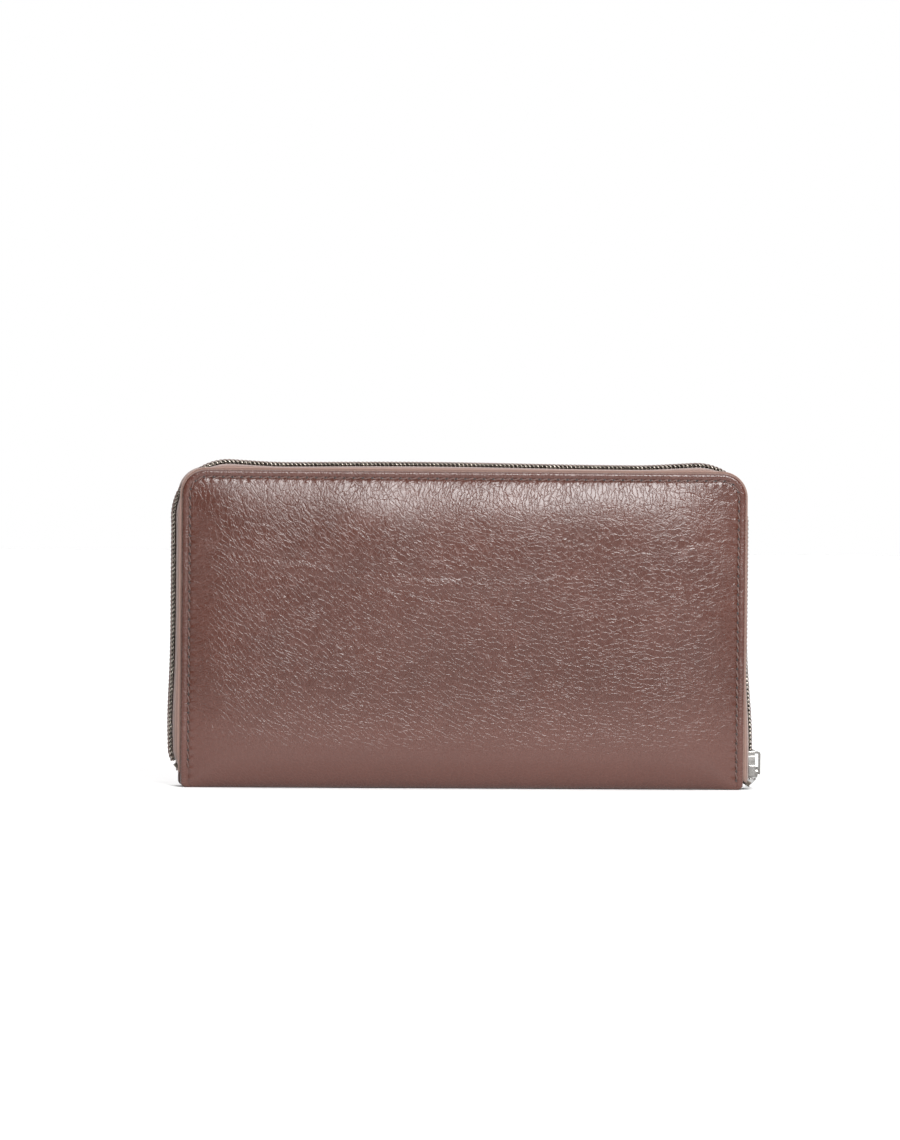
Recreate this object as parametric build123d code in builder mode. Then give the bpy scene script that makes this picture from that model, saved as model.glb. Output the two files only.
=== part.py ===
from build123d import *
import math
import os

# Long zip-around wallet, standing on its spine.
# Frame: origin at the centre of the spine's resting face, +X along the spine,
# +Y from the front cover to the back cover, +Z up to the top run of the zip.
# "half" is a distance from the middle plane Y = 0; side is +1 for the back, -1 for the front.

# ---- covers, millimetres ----
cover_width = 189.0
cover_height = 106.0
cover_corner = 8.0
cover_foot = 1.6          # lower edge of a cover, just clear of the spine strip
leather = 1.3
edge_half = 8.3           # outer face of the flat stitched border
crown_half = 12.3         # outer face of the padded field
field_inset = 3.6         # width of the flat border
field_foot = 4.0
field_taper = 30.0        # slope of the padded field's walls, degrees
field_corner = 4.4
crown_round = 1.4
board = 0.55
pad_gap = 0.12            # free play between a padding layer and its neighbour
lining_inset = 2.5
lining_corner = 12.0
lining_foot = 2.2
lining_half = 5.95        # inner face of the cover linings
lining = 0.35

# ---- stitching ----
stitch_pitch = 3.1
stitch_length = 2.3
stitch_width = 0.5
stitch_proud = 0.25
stitch_inset = 2.3
stitch_slant = 12.0

# ---- main zip ----
tape = 0.55
tape_half = 6.35          # inner face of the sewn part of a tape
tape_lap = 0.6            # how far the tape shows round a cover's corner
tape_depth = 8.0          # width of tape hidden under the cover's edge
tape_inner_edge = 1.9     # edge of the tape under the teeth
chain_stand = 2.1         # tape's outer face beyond the cover's edge
chain_corner = 18.8
left_bend = 7.9           # the closed end of the chain curls in between the covers
left_bend_z = 12.5
left_turn = 52.0
right_bend = 3.2          # the open end curls in just above the spine
right_bend_z = 4.2
right_turn = 45.0
tooth_pitch = 1.4
tooth_thickness = 0.6
tooth_height = 1.45
tooth_lift = 0.05
tooth_hook = 0.35         # reach of a tooth past the middle plane
tooth_reach = 2.6
row_spread = 1.95         # each row's shift round the slider's wedge
spread_top = 10.2
spread_foot = 6.5
bottom_stop_length = 2.6
top_stop_length = 1.6
stop_height = 1.7

# ---- zip slider and its pull ----
slider_foot = 4.2
slider_shoulder = 8.0
slider_waist = 11.2
slider_tail = 13.2
slider_mouth_half = 5.3
slider_tail_half = 3.6
slider_rail = 0.6
slider_round = 0.8
inner_plate = (0.25, 1.15)     # distances beyond the cover's edge
outer_plate = (3.7, 4.5)
outer_rail_foot = 2.25
inner_rail_top = 1.4
wedge_half = 1.4
wedge_foot_half = 1.15
wedge_wide_z = 6.8
wedge_tip_z = 9.0
crown_half_width = 1.1
crown_top = 6.7
crown_strap = 0.7
crown_foot_z = 4.9
crown_head_z = 12.6
pin_z = 5.7
pin_radius = 0.8
pin_play = 0.05
pull_thickness = 0.9
pull_foot = 4.85
pull_length = 20.0
pull_half = 2.2
pull_eye = 1.8
pull_slot_length = 7.0
pull_slot_half = 0.8
pull_rest_angle = 80.0    # from straight down, towards the back

# ---- inside ----
panel = 0.4
panel_gap = 0.08
slip_half = 74.0
slip_foot = 4.0
slip_top = 97.0
card_width = 70.0
card_gutter = 4.0
card_foot = 6.0
card_top = 90.0
card_step = 11.0
card_layers = 4
gusset_outer = 90.0
gusset_fold = 79.5
gusset_half = 5.5
gusset_thickness = 0.3
gusset_foot = 6.0
gusset_top = 98.0

# ---- coin pocket ----
coin_half_width = 76.0
coin_foot = 4.0
coin_top = 90.0
coin_inner = 1.7          # inner face of the pocket's panels
coin_panel = 0.5
coin_tape_half = 1.0
coin_tape = 0.45
coin_tape_foot = 78.0
coin_tape_top = 91.5
coin_tooth_pitch = 1.5
coin_tooth_top = 93.0
coin_tooth_reach = 1.5
coin_chain_half = 62.0
coin_slider_x = -56.0
coin_slider_length = 8.0
coin_slider_half = 2.6
coin_slider_wall = 0.6
coin_slider_foot = 90.9
coin_slider_lip = 91.3
coin_slider_mouth = 1.6
coin_slider_top = 93.9
coin_crown_top = 96.1
coin_crown_half_length = 2.5
coin_crown_half_width = 0.9
coin_pin_x = 1.2          # from the slider's middle
coin_pin_z = 94.7
coin_pin_radius = 0.5
coin_pull_half = 2.0
coin_pull_arm = 0.8
coin_pull_start = 4.3
coin_pull_length = 17.0
coin_pull_thickness = 0.8

# ---- worked out from the driving dimensions ----
edge_x = cover_width / 2
crown_rise = crown_half - edge_half
chain_side = edge_x + chain_stand
chain_top = cover_height + chain_stand
corner_x = chain_side - chain_corner
corner_z = chain_top - chain_corner
pin_x = edge_x + outer_plate[1]

os.makedirs("parts", exist_ok=True)


def save(part, name):
    """Label a finished piece and write its STEP file."""
    part.label = name
    export_step(part, f"parts/{name}.step")


def cover_plane(side, half):
    """Plane parallel to the covers that faces outwards; its second axis is +Z."""
    return Plane(origin=(0, side * half, 0), x_dir=(-side, 0, 0), z_dir=(0, side, 0))


def front_view(side, half):
    """Plane parallel to the covers whose first axis is always +X."""
    return Plane.XZ.offset(-side * half)


def outward(side, thickness):
    """Extrusion amount that carries a front_view sketch away from the middle plane."""
    return -side * thickness


def cover_outline(inset, foot, corner):
    """Face shaped like a cover: two round top corners and a square foot."""
    half_width = edge_x - inset
    top = cover_height - inset
    with BuildLine() as outline:
        FilletPolyline(
            (half_width, foot), (half_width, top), (-half_width, top), (-half_width, foot),
            radius=(corner, corner),
        )
        Line((-half_width, foot), (half_width, foot))
    make_face(outline.edges())


def upright_rectangle(half_width, foot, top):
    """Rectangle centred on X = 0 between two heights."""
    with Locations((0, (foot + top) / 2)):
        Rectangle(2 * half_width, top - foot)


def sheet(side, half, thickness, half_width, foot, top):
    """Flat rectangular layer parallel to the covers."""
    with BuildPart() as layer:
        with BuildSketch(cover_plane(side, half)):
            upright_rectangle(half_width, foot, top)
        extrude(amount=thickness)
    return layer.part


# ---- covers: leather, padding, board, lining ----
def cover_leather(side):
    """Leather panel: flat stitched border round a hollow, raised field."""
    hollow = field_inset + leather
    with BuildPart() as cover:
        with BuildSketch(cover_plane(side, edge_half - leather)):
            cover_outline(0, cover_foot, cover_corner)
        extrude(amount=leather)
        with BuildSketch(cover_plane(side, edge_half)):
            cover_outline(field_inset, field_foot, field_corner)
        extrude(amount=crown_rise, taper=field_taper)
        crown_face = cover.faces().sort_by(Axis.Y)[-1 if side > 0 else 0]
        fillet(crown_face.edges(), radius=crown_round)
        with BuildSketch(cover_plane(side, edge_half - leather)):
            cover_outline(hollow, field_foot + leather, field_corner - leather)
        extrude(amount=crown_rise, taper=field_taper, mode=Mode.SUBTRACT)
    return cover.part


def cover_board(side):
    """Stiffener board lying in the mouth of the padded field's hollow."""
    inset = field_inset + leather + 2 * board
    with BuildPart() as stiffener:
        with BuildSketch(cover_plane(side, edge_half - leather + pad_gap)):
            cover_outline(inset, field_foot + inset - field_inset, field_corner - leather)
        extrude(amount=board)
    return stiffener.part


def cover_pad(side):
    """Foam pad between the board and the leather's crown."""
    foot_half = edge_half - leather + board + 2 * pad_gap
    inset = field_inset + leather + 2 * board
    with BuildPart() as pad:
        with BuildSketch(cover_plane(side, foot_half)):
            cover_outline(inset, field_foot + inset - field_inset, field_corner - leather)
        extrude(amount=crown_half - leather - pad_gap - foot_half, taper=field_taper)
    return pad.part


def cover_lining(side):
    with BuildPart() as lining_panel:
        with BuildSketch(cover_plane(side, lining_half)):
            cover_outline(lining_inset, lining_foot, lining_corner)
        extrude(amount=lining)
    return lining_panel.part


def stitching(side):
    """Thread stitches round the sides and top of a cover, one solid to a stitch."""
    with BuildLine() as seam:
        half_width = edge_x - stitch_inset
        top = cover_height - stitch_inset
        foot = cover_foot + stitch_inset
        FilletPolyline(
            (-half_width, foot), (-half_width, top), (half_width, top), (half_width, foot),
            radius=cover_corner - stitch_inset,
        )
    seam_wire = seam.wire()
    count = int(seam_wire.length / stitch_pitch)
    with BuildPart() as thread:
        with BuildSketch(cover_plane(side, edge_half)):
            for index in range(count):
                along = (index + 0.5) / count
                place = seam_wire @ along
                heading = seam_wire % along
                turn = math.degrees(math.atan2(heading.Y, heading.X)) + stitch_slant
                with Locations(Location((place.X, place.Y, 0), (0, 0, turn))):
                    Rectangle(stitch_length, stitch_width)
        extrude(amount=stitch_proud)
    return thread.part


for side, name in ((1, "back"), (-1, "front")):
    save(cover_leather(side), f"{name}_cover_leather")
    save(cover_board(side), f"{name}_stiffener_board")
    save(cover_pad(side), f"{name}_foam_pad")
    save(cover_lining(side), f"{name}_lining")
    save(stitching(side), f"{name}_stitching")

with BuildPart() as spine_leather:
    with BuildSketch(Plane.XY):
        Rectangle(cover_width, 2 * edge_half)
    extrude(amount=leather)
    long_edges = spine_leather.edges().filter_by(Axis.X).group_by(Axis.Z)[-1]
    fillet(long_edges, radius=leather / 2)
save(spine_leather.part, "spine_leather")

with BuildPart() as spine_lining:
    with BuildSketch(Plane.XY.offset(leather + panel_gap)):
        Rectangle(2 * (edge_x - lining_inset), 2 * lining_half)
    extrude(amount=lining)
save(spine_lining.part, "spine_lining")


# ---- main zip: tapes, teeth, stops ----
def chain_curve(lift):
    """Path of the zip round the covers, lifted off the tape's outer face; returns its ends."""
    side_x = chain_side + lift
    left = CenterArc((left_bend - chain_side, left_bend_z), left_bend + lift, 180, left_turn)
    Line((-side_x, left_bend_z), (-side_x, corner_z))
    CenterArc((-corner_x, corner_z), chain_corner + lift, 180, -90)
    Line((-corner_x, chain_top + lift), (corner_x, chain_top + lift))
    CenterArc((corner_x, corner_z), chain_corner + lift, 90, -90)
    Line((side_x, corner_z), (side_x, right_bend_z))
    right = CenterArc((chain_side - right_bend, right_bend_z), right_bend + lift, 0, -right_turn)
    return left @ 1, right @ 1


def zip_tape(side):
    """Woven tape: a band sewn under the cover's edge, and a rim that carries the teeth."""
    with BuildPart() as strip:
        with BuildSketch(cover_plane(side, tape_half)):
            cover_outline(-tape_lap, lining_foot, cover_corner + tape_lap)
            cover_outline(-chain_stand, left_bend_z, chain_corner)
            with Locations((0, (cover_height - tape_depth) / 2 - cover_corner)):
                Rectangle(
                    2 * (edge_x - tape_depth), cover_height - tape_depth + 2 * cover_corner, mode=Mode.SUBTRACT
                )
        extrude(amount=tape)
        with BuildSketch(front_view(side, tape_inner_edge)):
            with BuildLine():
                inner_start, inner_end = chain_curve(-tape)
                outer_start, outer_end = chain_curve(0)
                Line(inner_start, outer_start)
                Line(inner_end, outer_end)
            make_face()
        extrude(amount=outward(side, tape_half + tape - tape_inner_edge))
    return strip.part


with BuildLine() as chain:
    chain_curve(tooth_lift + tooth_height / 2)
chain_wire = chain.wire()
chain_length = chain_wire.length
chain_reversed = (chain_wire @ 0).X > 0


def chain_place(distance):
    """Point and direction on the chain at a distance from its closed end on the left."""
    along = distance / chain_length
    if chain_reversed:
        along = 1 - along
    place = chain_wire @ along
    heading = chain_wire % along
    return Location((place.X, place.Y, 0), (0, 0, math.degrees(math.atan2(heading.Y, heading.X))))


def row_shift(x, z):
    """How far a row has moved sideways round the slider's wedge at the open end."""
    if x < 0 or z >= spread_top:
        return 0.0
    share = min(1.0, (spread_top - z) / (spread_top - spread_foot))
    return row_spread * share * share * (3 - 2 * share)


def zip_teeth(side, first):
    """One row of teeth, each its own solid, hooked past the middle plane where it is closed."""
    last = chain_length - top_stop_length - tooth_pitch
    count = int((last - first) / tooth_pitch) + 1
    places = [chain_place(first + index * tooth_pitch) for index in range(count)]
    closed = [place for place in places if row_shift(place.position.X, place.position.Y) == 0]
    spread = places[len(closed):]
    with BuildPart() as row:
        with BuildSketch(front_view(side, -tooth_hook)):
            with Locations(closed):
                Rectangle(tooth_thickness, tooth_height)
        extrude(amount=outward(side, tooth_hook + tooth_reach))
        for place in spread:
            shift = row_shift(place.position.X, place.position.Y)
            with BuildSketch(front_view(side, shift - tooth_hook)):
                with Locations(place):
                    Rectangle(tooth_thickness, tooth_height)
            extrude(amount=outward(side, tooth_hook + tooth_reach))
    return row.part


first_tooth = bottom_stop_length + tooth_pitch
for side, name, stagger in ((1, "back", 0.0), (-1, "front", tooth_pitch / 2)):
    save(zip_tape(side), f"{name}_zip_tape")
    save(zip_teeth(side, first_tooth + stagger), f"{name}_zip_teeth")
    with BuildPart() as top_stop:
        with BuildSketch(front_view(side, row_spread - tooth_hook)):
            with Locations(chain_place(chain_length - top_stop_length / 2)):
                Rectangle(top_stop_length, tooth_height)
        extrude(amount=outward(side, tooth_hook + tooth_reach))
    save(top_stop.part, f"{name}_top_stop")

with BuildPart() as bottom_stop:
    with BuildSketch(Plane.XZ):
        with Locations(chain_place(bottom_stop_length / 2)):
            Rectangle(bottom_stop_length, tooth_height)
    extrude(amount=tooth_reach, both=True)
save(bottom_stop.part, "bottom_stop")


# ---- zip slider, crown and pull ----
def slider_outline(trim, reach, mode=Mode.ADD):
    """Face of the slider seen from outside: wide mouth at the foot, narrow tail at the top."""
    mouth = slider_mouth_half - trim
    tail = slider_tail_half - trim
    foot = slider_foot - reach
    top = slider_tail + reach
    half = [(mouth, foot), (mouth, slider_shoulder), (tail, slider_waist), (tail, top)]
    with BuildLine() as outline:
        Polyline(*half, *[(-y, z) for y, z in reversed(half)], close=True)
    make_face(outline.edges(), mode=mode)


with BuildPart() as slider_body:
    for low, high in (inner_plate, outer_plate):
        with BuildSketch(Plane.YZ.offset(edge_x + low)) as plate:
            slider_outline(0, 0)
            fillet(plate.vertices(), radius=slider_round)
        extrude(amount=high - low)
    for low, high in ((outer_rail_foot, outer_plate[0]), (inner_plate[1], inner_rail_top)):
        with BuildSketch(Plane.YZ.offset(edge_x + low)) as rails:
            slider_outline(0, 0)
            fillet(rails.vertices(), radius=slider_round)
            slider_outline(slider_rail, 1.0, mode=Mode.SUBTRACT)
        extrude(amount=high - low)
    with BuildSketch(Plane.YZ.offset(edge_x + inner_plate[0])):
        with BuildLine():
            Polyline(
                (wedge_foot_half, slider_foot + slider_rail), (wedge_half, wedge_wide_z), (0, wedge_tip_z),
                (-wedge_half, wedge_wide_z), (-wedge_foot_half, slider_foot + slider_rail), close=True,
            )
        make_face()
    extrude(amount=outer_plate[0] - inner_plate[0])
save(slider_body.part, "zip_slider_body")

with BuildPart() as slider_crown:
    with BuildSketch(Plane.XZ):
        with BuildLine():
            plate_x = edge_x + outer_plate[1]
            strap_x = edge_x + crown_top
            FilletPolyline(
                (plate_x, crown_head_z), (strap_x, crown_head_z), (strap_x, crown_foot_z),
                (strap_x - crown_strap, crown_foot_z), (strap_x - crown_strap, crown_head_z - crown_strap),
                (plate_x, crown_head_z - crown_strap), radius=(0, 0.9, 0.3, 0.3, 0.3, 0), close=True,
            )
        make_face()
    extrude(amount=crown_half_width, both=True)
    with BuildSketch(Plane.YZ.offset(plate_x)):
        with Locations((0, pin_z)):
            Circle(pin_radius)
    extrude(amount=crown_top - crown_strap / 2 - outer_plate[1])
save(slider_crown.part, "zip_slider_crown")

# The pull is drawn hanging straight down from its pin and then swung to where it rests.
pull_plane = Plane(
    origin=(edge_x + pull_foot, 0, pin_z),
    x_dir=(0, math.cos(math.radians(pull_rest_angle)), math.sin(math.radians(pull_rest_angle))),
    z_dir=(1, 0, 0),
)
with BuildPart() as zip_pull:
    with BuildSketch(pull_plane):
        Circle(pull_eye)
        with Locations((0, (pull_half - pull_length) / 2)):
            Rectangle(2 * pull_eye, pull_length - pull_half)
        with Locations((0, -(pull_length + pull_eye) / 2)):
            RectangleRounded(2 * pull_half, pull_length - pull_eye - pull_half, pull_half * 0.9)
        Circle(pin_radius + pin_play, mode=Mode.SUBTRACT)
        with Locations((0, pull_slot_length - pull_length)):
            SlotOverall(pull_slot_length, 2 * pull_slot_half, rotation=90, mode=Mode.SUBTRACT)
    extrude(amount=pull_thickness)
save(zip_pull.part, "zip_pull_tab")


# ---- inside: slip panels, card pockets, gussets ----
def card_pockets(side, centre_x):
    """Stepped stack of card pockets; the one furthest from the middle plane is the tallest."""
    with BuildPart() as stack:
        for layer in range(card_layers):
            half = lining_half - panel_gap - panel - (layer + 1) * (panel + panel_gap)
            top = card_top - layer * card_step
            with BuildSketch(front_view(side, half)):
                with Locations((centre_x, (card_foot + top) / 2)):
                    Rectangle(card_width, top - card_foot)
            extrude(amount=outward(side, panel))
    return stack.part


for side, name in ((1, "back"), (-1, "front")):
    slip = sheet(side, lining_half - panel_gap - panel, panel, slip_half, slip_foot, slip_top)
    save(slip, f"{name}_slip_panel")
    card_x = (card_width + card_gutter) / 2
    save(card_pockets(side, -card_x), f"{name}_card_pockets_left")
    save(card_pockets(side, card_x), f"{name}_card_pockets_right")

for hand, name in ((-1, "left"), (1, "right")):
    with BuildPart() as gusset:
        with BuildSketch(Plane.XY.offset(gusset_foot)):
            fold_count = 6
            folds = []
            for fold in range(fold_count + 1):
                fold_x = gusset_outer if fold % 2 == 0 else gusset_fold
                folds.append((hand * fold_x, gusset_half * (1 - 2 * fold / fold_count)))
            with BuildLine() as pleats:
                Polyline(*folds)
            trace(line_width=gusset_thickness)
        extrude(amount=gusset_top - gusset_foot)
    save(gusset.part, f"{name}_gusset")


# ---- coin pocket and its zip ----
def coin_teeth(side, stagger):
    count = int((2 * coin_chain_half - stagger) / coin_tooth_pitch)
    with BuildPart() as row:
        with BuildSketch(Plane.XY.offset(coin_tape_top + tooth_lift)):
            for index in range(count):
                x = -coin_chain_half + stagger + (index + 0.5) * coin_tooth_pitch
                with Locations((x, side * (coin_tooth_reach - tooth_hook) / 2)):
                    Rectangle(tooth_thickness, coin_tooth_reach + tooth_hook)
        extrude(amount=coin_tooth_top - coin_tape_top - tooth_lift)
    return row.part


for side, name, stagger in ((1, "back", 0.0), (-1, "front", coin_tooth_pitch / 2)):
    wall = sheet(side, coin_inner, coin_panel, coin_half_width, coin_foot, coin_top)
    save(wall, f"coin_pocket_{name}")
    strip = sheet(side, coin_tape_half, coin_tape, coin_half_width - card_gutter, coin_tape_foot, coin_tape_top)
    save(strip, f"coin_zip_tape_{name}")
    save(coin_teeth(side, stagger), f"coin_zip_teeth_{name}")

with BuildPart() as coin_slider:
    cavity_top = coin_slider_top - coin_slider_wall - panel_gap
    with BuildSketch(Plane.YZ.offset(coin_slider_x - coin_slider_length / 2)):
        upright_rectangle(coin_slider_half, coin_slider_foot, coin_slider_top)
        with Locations((0, (coin_slider_lip + cavity_top) / 2)):
            Rectangle(
                2 * (coin_slider_half - coin_slider_wall), cavity_top - coin_slider_lip, mode=Mode.SUBTRACT
            )
        with Locations((0, coin_slider_foot)):
            Rectangle(2 * coin_slider_mouth, 2 * (coin_slider_lip - coin_slider_foot), mode=Mode.SUBTRACT)
    extrude(amount=coin_slider_length)
    outer_walls = coin_slider.faces().filter_by(Axis.Y).sort_by(Axis.Y)
    for wall in (outer_walls[0], outer_walls[-1]):
        fillet(wall.edges().filter_by(Axis.Z), radius=coin_slider_wall / 2)
save(coin_slider.part, "coin_slider_body")

with BuildPart() as coin_crown:
    with BuildSketch(Plane.XZ):
        with Locations((coin_slider_x, (coin_slider_top + coin_crown_top) / 2)):
            RectangleRounded(
                2 * coin_crown_half_length, coin_crown_top - coin_slider_top, coin_slider_wall * 0.9
            )
            Rectangle(
                2 * (coin_crown_half_length - coin_slider_wall),
                coin_crown_top - coin_slider_top - 2 * coin_slider_wall, mode=Mode.SUBTRACT
            )
        with Locations((coin_slider_x, coin_slider_top)):
            Rectangle(
                2 * (coin_crown_half_length - coin_slider_wall), 2 * coin_slider_wall, mode=Mode.SUBTRACT
            )
    extrude(amount=coin_crown_half_width, both=True)
save(coin_crown.part, "coin_slider_crown")

with BuildPart() as coin_pull:
    pin_centre_x = coin_slider_x + coin_pin_x
    with BuildSketch(Plane.XZ):
        with Locations((pin_centre_x, coin_pin_z)):
            Circle(coin_pin_radius)
    extrude(amount=coin_pull_half, both=True)
    with BuildSketch(Plane.XY.offset(coin_pin_z - coin_pull_thickness / 2)):
        with Locations((pin_centre_x + coin_pull_length / 2, 0)):
            Rectangle(coin_pull_length, 2 * coin_pull_half)
        with Locations((pin_centre_x + coin_pull_start / 2, 0)):
            Rectangle(coin_pull_start, 2 * (coin_pull_half - coin_pull_arm), mode=Mode.SUBTRACT)
    extrude(amount=coin_pull_thickness)
    tip_edges = coin_pull.edges().filter_by(Axis.Z).group_by(Axis.X)[-1]
    fillet(tip_edges, radius=coin_pull_half * 0.8)
save(coin_pull.part, "coin_pull_tab")
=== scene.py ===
import math

import bmesh
import bpy
import numpy as np
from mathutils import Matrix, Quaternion, Vector


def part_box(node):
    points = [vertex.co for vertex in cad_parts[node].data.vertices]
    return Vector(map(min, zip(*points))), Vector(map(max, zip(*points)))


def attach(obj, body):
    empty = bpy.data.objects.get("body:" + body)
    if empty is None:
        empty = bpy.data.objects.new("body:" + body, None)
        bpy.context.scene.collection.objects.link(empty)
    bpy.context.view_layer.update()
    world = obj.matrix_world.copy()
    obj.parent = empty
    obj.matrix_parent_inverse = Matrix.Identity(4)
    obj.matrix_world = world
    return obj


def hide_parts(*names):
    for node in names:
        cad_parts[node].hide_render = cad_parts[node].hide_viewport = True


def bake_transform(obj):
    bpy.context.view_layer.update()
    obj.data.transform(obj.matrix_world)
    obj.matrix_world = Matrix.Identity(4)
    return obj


# Looks for the zip-around long wallet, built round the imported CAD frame.
# Shapes are worked out in millimetres and turned into metres when a mesh is made.
# x runs along the spine, y from the front cover to the back cover, z up to the zip's top run.

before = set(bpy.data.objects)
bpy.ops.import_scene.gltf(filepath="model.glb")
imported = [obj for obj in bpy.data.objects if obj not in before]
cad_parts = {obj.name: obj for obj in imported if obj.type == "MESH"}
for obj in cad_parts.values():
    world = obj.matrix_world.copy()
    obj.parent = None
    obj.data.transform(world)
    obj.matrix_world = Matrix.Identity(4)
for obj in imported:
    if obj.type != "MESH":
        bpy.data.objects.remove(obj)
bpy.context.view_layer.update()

MM = 0.001


def node_box(name):
    """Lowest and highest corner of a CAD node, in millimetres."""
    low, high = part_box(name)
    return np.array(low) / MM, np.array(high) / MM


# ---- sizes taken from the frame ----
cover_low, cover_high = node_box("front_cover_leather")
tape_low, tape_high = node_box("back_zip_tape")
slip_low, slip_high = node_box("back_slip_panel")
board_low, board_high = node_box("back_stiffener_board")

HALF_WIDTH = cover_high[0]
TOP = cover_high[2]
CROWN = -cover_low[1]
FLANGE_IN = -cover_high[1]
FLANGE_OUT = node_box("spine_leather")[1][1]
LEATHER = FLANGE_OUT - FLANGE_IN
CHAIN_SIDE = tape_high[0]
CHAIN_TOP = tape_high[2]
TAPE_EDGE = tape_low[1]
TAPE_MID = tape_high[1] - 0.28
TAPE_THICK = 0.5

# ---- sizes the frame doesn't hold ----
COVERS = ((1, "back"), (-1, "front"))
COVER_CORNER = 8.0
CHAIN_CORNER = 18.8
LEFT_BEND, LEFT_BEND_Z, LEFT_TURN = 7.9, 12.5, math.radians(52)
RIGHT_BEND, RIGHT_BEND_Z, RIGHT_TURN = 3.2, 4.2, math.radians(45)
LEFT_BULGE, LEFT_TUCK, RIGHT_TUCK, TOP_WAVE, TOP_TUCK = 0.80, 0.45, 2.1, 0.28, 0.95
TOOTH_PITCH = 1.4
TOOTH_HOOK = 0.35
TOOTH_REACH = 2.6
STITCH_PITCH = 3.1
STITCH_INSET = 2.4
THREAD_HALF, THREAD_RADIUS, THREAD_SLANT = 1.22, 0.27, math.radians(16)
HOLE_HALF, HOLE_RADIUS, HOLE_SLANT = 0.60, 0.29, math.radians(42)
SPREAD_TOP, SPREAD_FOOT, SPREAD = 10.2, 6.5, 1.95
FLOOR_Z = -0.05
GRAIN_DEPTH = 0.06
# Share of the lighter crease tone: partly worn dye, partly painted glint.
CREASE_WEAR_AND_GLINT = 0.6
FOOT_ROUND = 1.8
# Heights over which the painted reflection of the floor on the lower leather fades out.
FOOT_REFLECTION_LOW, FOOT_REFLECTION_HIGH = 12.0, 38.0
PAD_RISE = CROWN - 0.35 - FLANGE_OUT
LIP_WIDE, LIP_FALL = 0.8, 0.62
COIL_WIRE, COIL_LIFT, LOOP_BEND = 0.30, 1.20, 7
PANEL_STEP = 2.5
INNER_STITCH = 2.6
POCKETS, POCKET_THICK = 4, 0.4
POCKET_STEP, POCKET_HEM, POCKET_SEAM_DROP = 11.0, 2.6, 2.0
GUSSET_THICK, GUSSET_PLEATS = 0.28, 3
FLOOR_REACH = 3500


def smooth(value, low=0.0, high=1.0):
    share = np.clip((np.asarray(value, float) - low) / (high - low), 0, 1)
    return share * share * (3 - 2 * share)


# ---------------------------------------------------------------- mesh helpers
def linked(name, data):
    """New object of a mesh, light or camera, placed in the scene."""
    made = bpy.data.objects.new(name, data)
    bpy.context.collection.objects.link(made)
    return made


def grid_faces(rows, columns, start=0, wrap=False):
    """Quads over a grid of points stored row by row; wrap joins the last column to the first."""
    across = columns if wrap else columns - 1
    row, column = np.meshgrid(np.arange(rows - 1), np.arange(across), indexing="ij")
    following = (column + 1) % columns
    corners = [row * columns + column, row * columns + following,
               (row + 1) * columns + following, (row + 1) * columns + column]
    return np.stack(corners, axis=-1).reshape(-1, 4) + start


class Shape:
    """Points in millimetres, faces and per-point values of one piece."""

    def __init__(self):
        self.points, self.faces, self.count, self.values = [], [], 0, {}

    def add(self, points, faces, **values):
        points = np.asarray(points, float).reshape(-1, 3)
        self.faces.extend((np.asarray(face) + self.count).tolist() for face in faces)
        self.points.append(points)
        for name, value in values.items():
            self.values.setdefault(name, []).append(np.broadcast_to(value, len(points)))
        self.count += len(points)

    def make(self, name, material):
        points = np.concatenate(self.points)
        mesh = bpy.data.meshes.new(name)
        mesh.from_pydata((points * MM).tolist(), [], self.faces)
        mesh.validate()
        rest = mesh.attributes.new("rest", "FLOAT_VECTOR", "POINT")
        rest.data.foreach_set("vector", points.astype(np.float32).ravel())
        for key, value in self.values.items():
            layer = mesh.attributes.new(key, "FLOAT", "POINT")
            layer.data.foreach_set("value", np.concatenate(value).astype(np.float32))
        mesh.materials.append(material)
        mesh.polygons.foreach_set("use_smooth", [True] * len(mesh.polygons))
        return linked(name, mesh)


def face_outwards(made):
    """Turns every face of a closed mesh to face outwards."""
    work = bmesh.new()
    work.from_mesh(made.data)
    bmesh.ops.recalc_face_normals(work, faces=work.faces)
    work.to_mesh(made.data)
    work.free()
    return made


def settle(piece, slot, body, *nodes):
    """Attaches a piece to its body and hides the CAD nodes it stands in for; slot is not used."""
    if nodes:
        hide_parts(*nodes)
    if body:
        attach(piece, body)


def closed_slab(front, back, **values):
    """Closed solid between two grids of the same size; returns points, faces and values twice over."""
    rows, columns, _ = front.shape
    count = rows * columns
    faces = [grid_faces(rows, columns), grid_faces(rows, columns, count)[:, ::-1]]
    rim = np.concatenate([
        np.arange(columns - 1),
        np.arange(rows - 1) * columns + columns - 1,
        (rows - 1) * columns + np.arange(columns - 1, 0, -1),
        np.arange(rows - 1, 0, -1) * columns,
    ])
    following = np.roll(rim, -1)
    faces.append(np.stack([following, rim, rim + count, following + count], axis=-1))
    points = np.concatenate([front.reshape(-1, 3), back.reshape(-1, 3)])
    doubled = {name: np.concatenate([value.ravel(), value.ravel()]) for name, value in values.items()}
    return points, np.concatenate(faces), doubled


def slab_piece(name, material, front, back, **values):
    """Closed solid between two grids, made into an object."""
    points, faces, doubled = closed_slab(front, back, **values)
    shape = Shape()
    shape.add(points, faces, **doubled)
    return face_outwards(shape.make(name, material))


def unit(vectors):
    return vectors / np.maximum(np.linalg.norm(vectors, axis=-1, keepdims=True), 1e-9)


def upright_slab(name, material, x, z, outer, inner, side, **values):
    """Sheet along a cover, between two distances from the middle plane; side is 1 for the back one."""
    faces = [np.stack([x, side * away + 0 * x, z], -1) for away in (outer, inner)]
    return slab_piece(name, material, *faces, **values)


def grid_normals(grid):
    return unit(np.cross(np.gradient(grid, axis=0), np.gradient(grid, axis=1)))


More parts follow.
